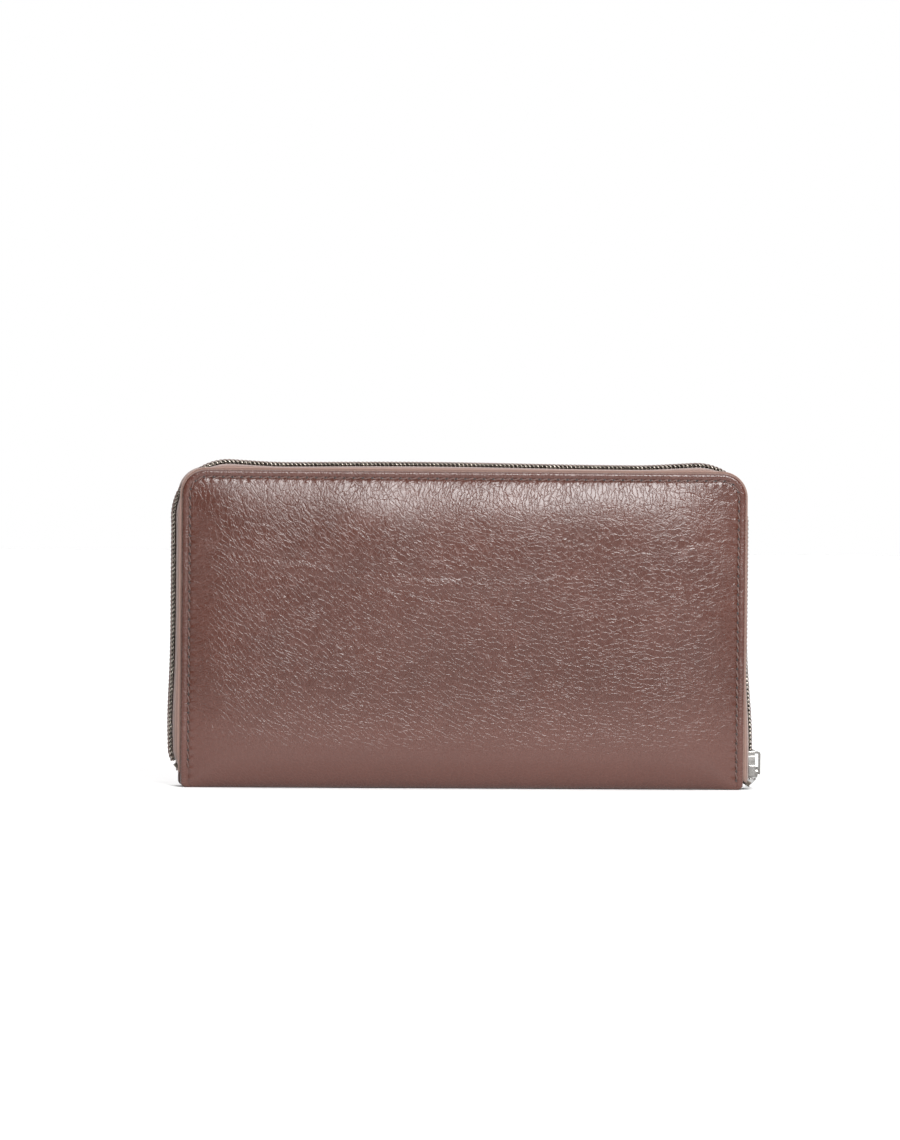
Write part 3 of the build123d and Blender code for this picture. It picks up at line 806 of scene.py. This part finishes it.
def coil_row(name, side, path, first, last):
    """One coil of a zip: a flattened, continuous spiral whose heads hook past the middle plane."""
    turns = int((last - first) / TOOTH_PITCH)
    loop = coil_loop()
    count = len(loop)
    turn = np.repeat(np.arange(turns), count)
    across = np.tile(loop[:, 0], turns)
    lift = np.tile(loop[:, 1], turns)
    run = first + (turn + np.tile(loop[:, 2], turns)) * TOOTH_PITCH
    place, outward = path.at(run)
    y = side * (across + row_shift(place[:, 0], place[:, 1]))
    points = off_path(place, outward, lift + path.sway(run), y)
    swollen = np.concatenate([np.sin(np.linspace(0, math.pi, LOOP_BEND)), np.zeros(count - LOOP_BEND)])
    thick = COIL_WIRE * (1 + 0.22 * np.tile(swollen, turns))
    tangent = unit(np.gradient(points, axis=0))
    rise = unit(np.cross(tangent, np.stack([-outward[:, 1], 0 * run, outward[:, 0]], axis=-1)))
    shape = Shape()
    shape.add(*rod(points, np.cross(rise, tangent), rise, thick, sides=6))
    return face_outwards(shape.make(name, zip_metal_dark))


def panel_distance(x, z):
    """Signed distance from the leather panel's outline; its square foot is left out."""
    across = np.abs(x) - (HALF_WIDTH - COVER_CORNER)
    above = z - (TOP - COVER_CORNER)
    outside = np.hypot(np.maximum(across, 0), np.maximum(above, 0))
    inside = np.minimum(np.maximum(across, above), 0)
    return outside + inside - COVER_CORNER


TAPE_LAP = 0.45
CORD_LIFT, CORD_INSET, CORD_RADIUS = 1.46, 0.85, 0.17


def off_path(place, outward, stand, y):
    """Points that stand off the zip's path, y behind the middle plane."""
    flat = place + outward * stand[:, None]
    return np.stack([flat[:, 0], y, flat[:, 1]], axis=-1)


def bent(start, knee, end, part):
    """Place on a curve from start to end that bends towards knee."""
    return (1 - part) ** 2 * start + 2 * part * (1 - part) * knee + part ** 2 * end


def zip_tape(name, side, path):
    """Woven tape: sewn flat under the cover's edge, then arched over to the teeth."""
    run = np.linspace(0.2, path.length - 0.2, 460)
    place, outward = path.at(run)
    sway = path.sway(run)
    reach = np.full(run.shape, -1.5)
    for _ in range(12):
        spot = place + outward * reach[:, None]
        reach -= panel_distance(spot[:, 0], spot[:, 1]) - TAPE_LAP
    sections = [(TAPE_MID + 0 * run, reach + back) for back in (-5.5, -3.0, -1.2)]
    end_y = TAPE_EDGE - 0.1 + 0.4 * row_shift(place[:, 0], place[:, 1])
    end_n = sway - 0.25
    knee_y, knee_n = TAPE_MID - 0.4, np.maximum(reach, end_n) + 0.55
    sections += [(bent(TAPE_MID, knee_y, end_y, part), bent(reach, knee_n, end_n, part))
                 for part in np.linspace(0, 1, 11)]
    grid = np.stack([off_path(place, outward, stand, side * half) for half, stand in sections], axis=1)
    across = np.concatenate([[0], np.cumsum(np.linalg.norm(np.diff(grid, axis=1), axis=-1).mean(axis=0))])
    normal = grid_normals(grid)
    front, back = grid + normal * TAPE_THICK / 2, grid - normal * TAPE_THICK / 2
    wide = np.broadcast_to(across, grid.shape[:2])
    long = np.broadcast_to(run[:, None], grid.shape[:2])
    return slab_piece(name, zip_tape_cloth, front, back, run=long, across=wide)


def coil_seam(name, side, path, first, last):
    """Thread that sews a coil to its tape: a cord that dips between the loops."""
    steps = int((last - first) / TOOTH_PITCH) * 4
    run = np.linspace(first, last, steps)
    place, outward = path.at(run)
    bob = 0.10 * np.cos(2 * math.pi * (run - first) / TOOTH_PITCH)
    weave = 0.08 * np.sin(math.pi * run / TOOTH_PITCH)
    y = side * (TOOTH_REACH - CORD_INSET + row_shift(place[:, 0], place[:, 1]) + weave)
    points, faces = tube(off_path(place, outward, CORD_LIFT + bob + path.sway(run), y), CORD_RADIUS, sides=5)
    shape = Shape()
    shape.add(points, faces, run=np.repeat(run, 5))
    return shape.make(name, brown_thread)


teeth_path = ChainPath(lift=0.775)
tape_path = ChainPath()
first_tooth = 2.6 + TOOTH_PITCH
last_tooth = teeth_path.length - 1.6 - TOOTH_PITCH * 0.6
for side, label in COVERS:
    stagger = 0.0 if side > 0 else TOOTH_PITCH / 2
    coil = coil_row(f"{label}_coil", side, teeth_path, first_tooth + stagger, last_tooth)
    settle(coil, "zip_teeth", None, f"{label}_zip_teeth")
    tape = zip_tape(f"{label}_tape", side, tape_path)
    settle(tape, "zip_tape", None, f"{label}_zip_tape")
    seam = coil_seam(f"{label}_coil_seam", side, teeth_path, first_tooth, last_tooth)
    settle(seam, "thread", None)
    for piece in (coil, tape, seam):
        if side > 0:
            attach(piece, "back_cover")
        else:
            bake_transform(piece)


# ---------------------------------------------------------------- stitching
def seam_points():
    """Places and directions of the stitches round one cover."""
    run = SEAM_START + (np.arange(SEAM_COUNT) + 0.5) * SEAM_STEP
    theta_left = math.pi - (run - SEAM_STRAIGHT) / SEAM_RADIUS
    theta_right = math.pi / 2 - (run - SEAM_STRAIGHT - SEAM_TURN - SEAM_TOP) / SEAM_RADIUS
    corner_x, corner_z = HALF_WIDTH - COVER_CORNER, TOP - COVER_CORNER
    parts = [
        (run < SEAM_STRAIGHT, STITCH_INSET - HALF_WIDTH + 0 * run, run, math.pi / 2 + 0 * run),
        (run < SEAM_STRAIGHT + SEAM_TURN, -corner_x + SEAM_RADIUS * np.cos(theta_left),
         corner_z + SEAM_RADIUS * np.sin(theta_left), theta_left - math.pi / 2),
        (run < SEAM_STRAIGHT + SEAM_TURN + SEAM_TOP, run - SEAM_STRAIGHT - SEAM_TURN - corner_x,
         TOP - STITCH_INSET + 0 * run, 0 * run),
        (run < SEAM_STRAIGHT + 2 * SEAM_TURN + SEAM_TOP, corner_x + SEAM_RADIUS * np.cos(theta_right),
         corner_z + SEAM_RADIUS * np.sin(theta_right), theta_right - math.pi / 2),
        (run > 0, HALF_WIDTH - STITCH_INSET + 0 * run, SEAM_WHOLE - run, -math.pi / 2 + 0 * run),
    ]
    chosen = [np.select([part[0] for part in parts], [part[index] for part in parts]) for index in (1, 2, 3)]
    return np.stack(chosen, -1)


def cover_stitching(name, side):
    """Saddle stitches: each thread arches over the leather between two awl punctures, each drawn as a dark
    tube of painted shade.
    """
    thread, hole_shades = Shape(), Shape()
    bend, reach = np.linspace(-1, 1, 9), np.linspace(-1, 1, 7)

    def flat(angle):
        """Direction at an angle in the cover's plane."""
        return np.array([math.cos(angle), 0, math.sin(angle)])

    for x, z, heading in seam_points()[1:-1]:
        path = np.array([x, 0, z]) + bend[:, None] * THREAD_HALF * flat(heading - side * THREAD_SLANT)
        path[:, 1] = side * (FLANGE_OUT - 0.42 + 0.42 * (1 - bend ** 4))
        points, faces = tube(path, THREAD_RADIUS * (1 - 0.35 * bend ** 4), sides=7)
        thread.add(points, faces, run=np.repeat(bend * THREAD_HALF, 7))
        # Each awl hole is a dark tube sunk in the leather: painted shade.
        centre = np.array([x, side * (FLANGE_OUT - 0.20), z]) + flat(heading) * STITCH_PITCH / 2
        hole = centre + reach[:, None] * HOLE_HALF * flat(heading - side * HOLE_SLANT)
        points, faces = tube(hole, HOLE_RADIUS * np.sqrt(np.maximum(1 - reach ** 2, 0.05)), sides=6)
        hole_shades.add(points, faces, run=np.repeat(reach, 6))
    return thread.make(name, brown_thread), hole_shades.make(name + "_holes", hole_shade)


for side, label in COVERS:
    thread, hole_shades = cover_stitching(f"{label}_seam", side)
    settle(thread, "thread", f"{label}_cover", f"{label}_stitching")
    settle(hole_shades, "thread", f"{label}_cover")


# ---------------------------------------------------------------- inside
def soft_panel(name, material, low, high, side, corner=0.0, belly=0.0, phase=0.0):
    """Sewn flat panel with rounded edges and a slight belly."""
    wide, tall = high[0] - low[0], high[2] - low[2]
    x_lines = np.linspace(low[0], high[0], max(8, int(wide / PANEL_STEP)))
    z_lines = np.linspace(low[2], high[2], max(8, int(tall / PANEL_STEP)))
    edge, fold = np.array([0.15, 0.5, 1.1]), np.array([1.6, 2.0, 2.4])
    x_lines = np.unique(np.concatenate([x_lines, low[0] + edge, high[0] - edge]))
    z_lines = np.unique(np.concatenate([z_lines, low[2] + edge, high[2] - edge, high[2] - fold]))
    x, z = np.meshgrid(x_lines, z_lines)
    side_gap = np.minimum(x - low[0], high[0] - x)
    top_gap = high[2] - z
    if corner:
        cut = corner - np.sqrt(np.maximum(corner ** 2 - np.maximum(corner - side_gap, 0) ** 2, 0))
        z = z - cut * smooth(z, low[2], high[2])
    inset = np.minimum(np.minimum(side_gap, top_gap), z - low[2])
    thin = 0.5 * (high[1] - low[1]) * (0.35 + 0.65 * np.sqrt(np.clip(inset / 0.5, 0, 1)))
    middle = (low[1] + high[1]) / 2
    puff = belly * np.sin(np.pi * (x - low[0]) / wide) * np.sin(np.pi * (z - low[2]) / tall)
    puff = puff * (1 + 0.25 * np.sin(x / 9.0 + phase) * np.sin(z / 12.0 + phase))
    return upright_slab(name, material, x, z, middle + thin + puff, middle - thin + puff, side)


def edge_stitches(name, start, end, y, side, body):
    """Row of small stitches on an inner panel, between two points in x and z."""
    shape = Shape()
    (x0, z0), (x1, z1) = start, end
    length = math.hypot(x1 - x0, z1 - z0)
    count = int(length / INNER_STITCH)
    bend = np.linspace(-1, 1, 5)
    for index in range(count):
        share = np.linspace(index + 0.12, index + 0.88, 5) / count
        path = np.stack(
            [x0 + share * (x1 - x0), side * (y - 0.10 * (1 - bend ** 2)), z0 + share * (z1 - z0)], -1
        )
        points, faces = tube(path, 0.14, sides=5)
        shape.add(points, faces, run=np.repeat(share * length, 5))
    settle(shape.make(name, brown_thread), "thread", body)


def card_pockets(label, side, hand):
    """Four stepped pockets, each a leather strip with a turned top edge, and one row of stitches across the
    outermost one.
    """
    node = f"{label}_card_pockets_{hand}"
    low, high = node_box(node)
    pieces = Shape()
    inner, outer = (low[1], high[1]) if side > 0 else (-high[1], -low[1])
    pitch = (outer - inner - POCKET_THICK) / (POCKETS - 1)
    for layer in range(POCKETS):
        y_out = outer - layer * pitch
        top = high[2] - layer * POCKET_STEP
        rim = np.array([0.15, 0.5])
        x_lines = np.unique(np.concatenate([np.linspace(low[0], high[0], 30), low[0] + rim, high[0] - rim]))
        hem = np.array([2.9, 2.7, 2.4, 1.2, 0.5, 0.2, 0.0])
        z_lines = np.concatenate([np.linspace(low[2], top - 4.0, 14), top - hem])
        x, z = np.meshgrid(x_lines, z_lines)
        middle = (low[0] + high[0]) / 2
        notch = 1.6 * np.exp(-((x - middle) / 11.0) ** 4)
        share = np.clip((z - low[2]) / (top - low[2]), 0, 1)
        z = z - notch * share ** 6
        gap = top - notch - z
        full = np.where(gap < POCKET_HEM, 1.0, 0.72) * np.sqrt(np.clip((gap + 0.06) / 0.35, 0.02, 1))
        half = POCKET_THICK / 2 * full
        centre = y_out - POCKET_THICK / 2
        front, back = (np.stack([x, side * away, z], -1) for away in (centre + half, centre - half))
        pieces.add(*closed_slab(front, back)[:2])
    made = face_outwards(pieces.make(f"{node}_looks", inner_leather))
    settle(made, "inner_leather", f"{label}_cover", node)
    seam_z = high[2] - POCKET_SEAM_DROP
    ends = (low[0] + 1, seam_z), (high[0] - 1, seam_z)
    edge_stitches(f"{node}_edge_seam", *ends, outer - POCKET_THICK, side, f"{label}_cover")


for side, label in COVERS:
    panel = soft_panel(f"{label}_lining_looks", lining_cloth, *node_box("back_lining"), side, corner=11.0)
    settle(panel, "lining_cloth", f"{label}_cover", f"{label}_lining")
    slip = soft_panel(f"{label}_slip_panel_looks", inner_leather, slip_low, slip_high, side)
    settle(slip, "inner_leather", f"{label}_cover", f"{label}_slip_panel")
    ends = (slip_low[0] + 1.5, slip_high[2] - 2), (slip_high[0] - 1.5, slip_high[2] - 2)
    edge_stitches(f"{label}_slip_seam", *ends, slip_low[1], side, f"{label}_cover")
    for hand in ("left", "right"):
        card_pockets(label, side, hand)


def gusset(name, hand):
    """Accordion gusset: a pleated sheet sewn to both linings, with softly rounded folds."""
    low, high = node_box(name)
    outer = max(abs(low[0]), abs(high[0])) - 0.2
    fold = min(abs(low[0]), abs(high[0])) + 0.2
    reach = high[1] - 0.2
    across = np.linspace(-1, 1, 73)
    phase = (across + 1) / 2 * GUSSET_PLEATS
    pleat = 1 - np.abs((phase % 1) * 2 - 1)
    pleat = pleat * 0.96 + 0.04 * smooth(pleat)
    x = outer - (outer - fold) * (0.25 * (0.5 - 0.5 * np.cos(np.pi * pleat)) + 0.75 * pleat)
    foot = node_box("spine_lining")[1][2] + 0.15
    hem = high[2] - np.array([0.5, 0.2, 0.0])
    z_lines = np.concatenate([[foot], np.linspace(low[2], high[2] - 1, 22), hem])
    grid = np.zeros((len(z_lines), len(across), 3))
    for row, z in enumerate(z_lines):
        sag = 0.5 * np.sin(z / 14.0 + 5 * across)
        drop = 2.0 * pleat * max(z - low[2], 0) / (high[2] - low[2])
        grid[row] = np.stack([hand * (x + 0.3 * sag * (1 - across ** 2)), -across * reach, z - drop], -1)
    normal = grid_normals(grid)
    half = GUSSET_THICK / 2
    made = slab_piece(f"{name}_looks", lining_cloth, grid + normal * half, grid - normal * half)
    settle(made, "lining_cloth", None, name)
    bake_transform(made)


gusset("left_gusset", -1)
gusset("right_gusset", 1)

spine_low, spine_high = node_box("spine_lining")
rows_x = np.linspace(spine_low[0], spine_high[0], 60)
rows_y = np.linspace(spine_low[1], spine_high[1], 14)
floor_x, floor_y = np.meshgrid(rows_x, rows_y)
ripple = 0.05 * np.sin(floor_x / 6.0) * np.sin(floor_y / 2.0)
spine_cloth = slab_piece(
    "spine_lining_looks", lining_cloth,
    np.stack([floor_x, floor_y, spine_high[2] + ripple], -1),
    np.stack([floor_x, floor_y, spine_low[2] + ripple + 0.05], -1),
)
settle(spine_cloth, "lining_cloth", "back_cover", "spine_lining")


# ---------------------------------------------------------------- coin pocket
for side, label in COVERS:
    coin_box = node_box("coin_pocket_back")
    wall = soft_panel(f"coin_pocket_{label}_looks", lining_cloth, *coin_box, side, belly=0.12, phase=side)
    settle(wall, "lining_cloth", "coin_pocket", f"coin_pocket_{label}")
    low, high = node_box(f"coin_zip_tape_{label}")
    x, z = np.meshgrid(np.linspace(low[0], high[0], 120), np.linspace(low[2], high[2], 12))
    inner, outer = min(abs(low[1]), abs(high[1])), max(abs(low[1]), abs(high[1]))
    name = f"coin_zip_tape_{label}"
    strip = upright_slab(f"{name}_looks", zip_tape_cloth, x, z, outer, inner, side, run=x, across=z)
    settle(strip, "zip_tape", "coin_pocket", name)


# ---------------------------------------------------------------- pads and CAD nodes that stay
def foam_pad(label, side):
    """Foam that fills the room between the board and the leather's crown."""
    half_x, foot, top = board_high[0], board_low[2] + 4, board_high[2]
    x, z = np.meshgrid(np.linspace(-half_x, half_x, 90), np.linspace(foot, top, 50))
    under = FLANGE_OUT + PAD_RISE * swells[side](x, z) - LEATHER - 0.55
    low = board_high[1] + 0.1
    made = upright_slab(f"{label}_foam_pad_looks", foam, x, z, np.maximum(under, low + 0.15), low, side)
    settle(made, "foam", f"{label}_cover", f"{label}_foam_pad")


WELD_GAP = 0.02
SHARP_ANGLE = math.radians(35)


def dress(node, material, bevel=0.0):
    """Gives a CAD node its finish and, on metal, eased edges."""
    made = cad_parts[node]
    for slot in made.material_slots:
        slot.material = material
    if bevel:
        weld = made.modifiers.new("weld", "WELD")
        weld.merge_threshold = WELD_GAP * MM
        ease = made.modifiers.new("ease", "BEVEL")
        ease.width = bevel * MM
        ease.segments = 3
        ease.limit_method = "ANGLE"
        ease.angle_limit = SHARP_ANGLE


for side, label in COVERS:
    foam_pad(label, side)
    dress(f"{label}_stiffener_board", grey_board)
    dress(f"{label}_top_stop", stop_metal, 0.15)
    dress(f"coin_zip_teeth_{label}", stop_metal)
dress("bottom_stop", stop_metal, 0.25)
for part in ("slider_body", "slider_crown", "pull_tab"):
    dress(f"zip_{part}", nickel, 0.16)
    dress(f"coin_{part}", nickel, 0.16)


# ---------------------------------------------------------------- floor, light, camera
def floor_finish():
    """Matt white paper."""
    f = Finish("white_floor")
    tint = f.ramp(f.noise(f.place(), 0.01, 2.0), 0.0, 1.0, 0.91, 0.93, "LINEAR")
    f.set(Base_Color=f.node("CombineColor", {0: tint, 1: tint, 2: tint}).outputs[0], Roughness=0.85,
          Specular_IOR_Level=0.1)
    return f.material


def studio_floor():
    shape = Shape()
    lines = np.linspace(-FLOOR_REACH, FLOOR_REACH, 9)
    x, y = np.meshgrid(lines, lines)
    shape.add(np.stack([x, y, FLOOR_Z + 0 * x], -1), grid_faces(9, 9))
    shape.make("studio_floor", floor_finish())


def seen_from(azimuth, elevation):
    """Direction of a place seen from the object, in degrees; azimuth 0 is in front."""
    turn, rise = math.radians(azimuth), math.radians(elevation)
    return np.array([math.sin(turn) * math.cos(rise), -math.cos(turn) * math.cos(rise), math.sin(rise)])


def aimed(name, data, place, aim):
    """Links a light and turns it towards its aim."""
    made = linked(name, data)
    made.location = place
    made.rotation_mode = "QUATERNION"
    made.rotation_quaternion = Vector(np.array(aim) - np.array(place)).to_track_quat("-Z", "Y")


def softbox(name, azimuth, elevation, distance, width, height, radiance):
    """Rectangular light at a distance from the middle of the object."""
    data = bpy.data.lights.new(name, "AREA")
    data.shape = "RECTANGLE"
    data.size, data.size_y = width, height
    data.energy = radiance * math.pi * width * height
    middle = np.array([0, 0, TOP * MM / 2])
    aimed(name, data, middle + distance * seen_from(azimuth, elevation), middle)


SKY_SPREAD = math.radians(75)


def sky_light(strength, tilt):
    """Very soft light from above and a little behind, the same everywhere on the floor."""
    data = bpy.data.lights.new("sky_light", "SUN")
    data.energy = strength
    data.angle = SKY_SPREAD
    aimed("sky_light", data, (0, math.sin(math.radians(tilt)), math.cos(math.radians(tilt))), (0, 0, 0))


def studio_world(seen, above, level):
    """White to the camera; to the object, brighter overhead than at eye level."""
    world = bpy.data.worlds.new("studio")
    bpy.context.scene.world = world
    world.use_nodes = True
    world.node_tree.nodes.clear()
    w = Nodes(world.node_tree)
    up = w.node("SeparateXYZ", {0: w.node("TexCoord").outputs["Generated"]}).outputs["Z"]
    rise = w.node("MapRange", {"Value": up, "To Min": level, "To Max": above}).outputs[0]
    dim, white = (w.node("Background", {"Color": (1, 1, 1, 1), "Strength": strength}).outputs[0]
                  for strength in (rise, seen))
    by_camera = w.node("LightPath").outputs["Is Camera Ray"]
    share = w.node("MixShader", {0: by_camera, 1: dim, 2: white}).outputs[0]
    w.node("OutputWorld", {0: share})


def camera():
    """Long lens, a little to the left of and above the front cover, tipped by a fraction of a degree."""
    back = seen_from(azimuth=-5.0, elevation=1.8)
    roll = math.radians(-0.55)
    distance = 2.783
    target = np.array([0.0, 0.0, 0.054])
    data = bpy.data.cameras.new("camera")
    data.lens = 262.0
    data.sensor_width = 36.0
    data.shift_x, data.shift_y = -0.0105, 0.0496
    made = linked("camera", data)
    made.location = target + distance * back
    made.rotation_mode = "QUATERNION"
    made.rotation_quaternion = Vector(-back).to_track_quat("-Z", "Y") @ Quaternion((0, 0, 1), -roll)
    bpy.context.scene.camera = made


studio_floor()
studio_world(seen=1.0, above=0.5, level=0.08)
sky_light(strength=2.62, tilt=24)
softbox("key", azimuth=15, elevation=29, distance=1.3, width=0.60, height=0.58, radiance=22.0)
bpy.context.scene.view_settings.view_transform = "Standard"
camera()
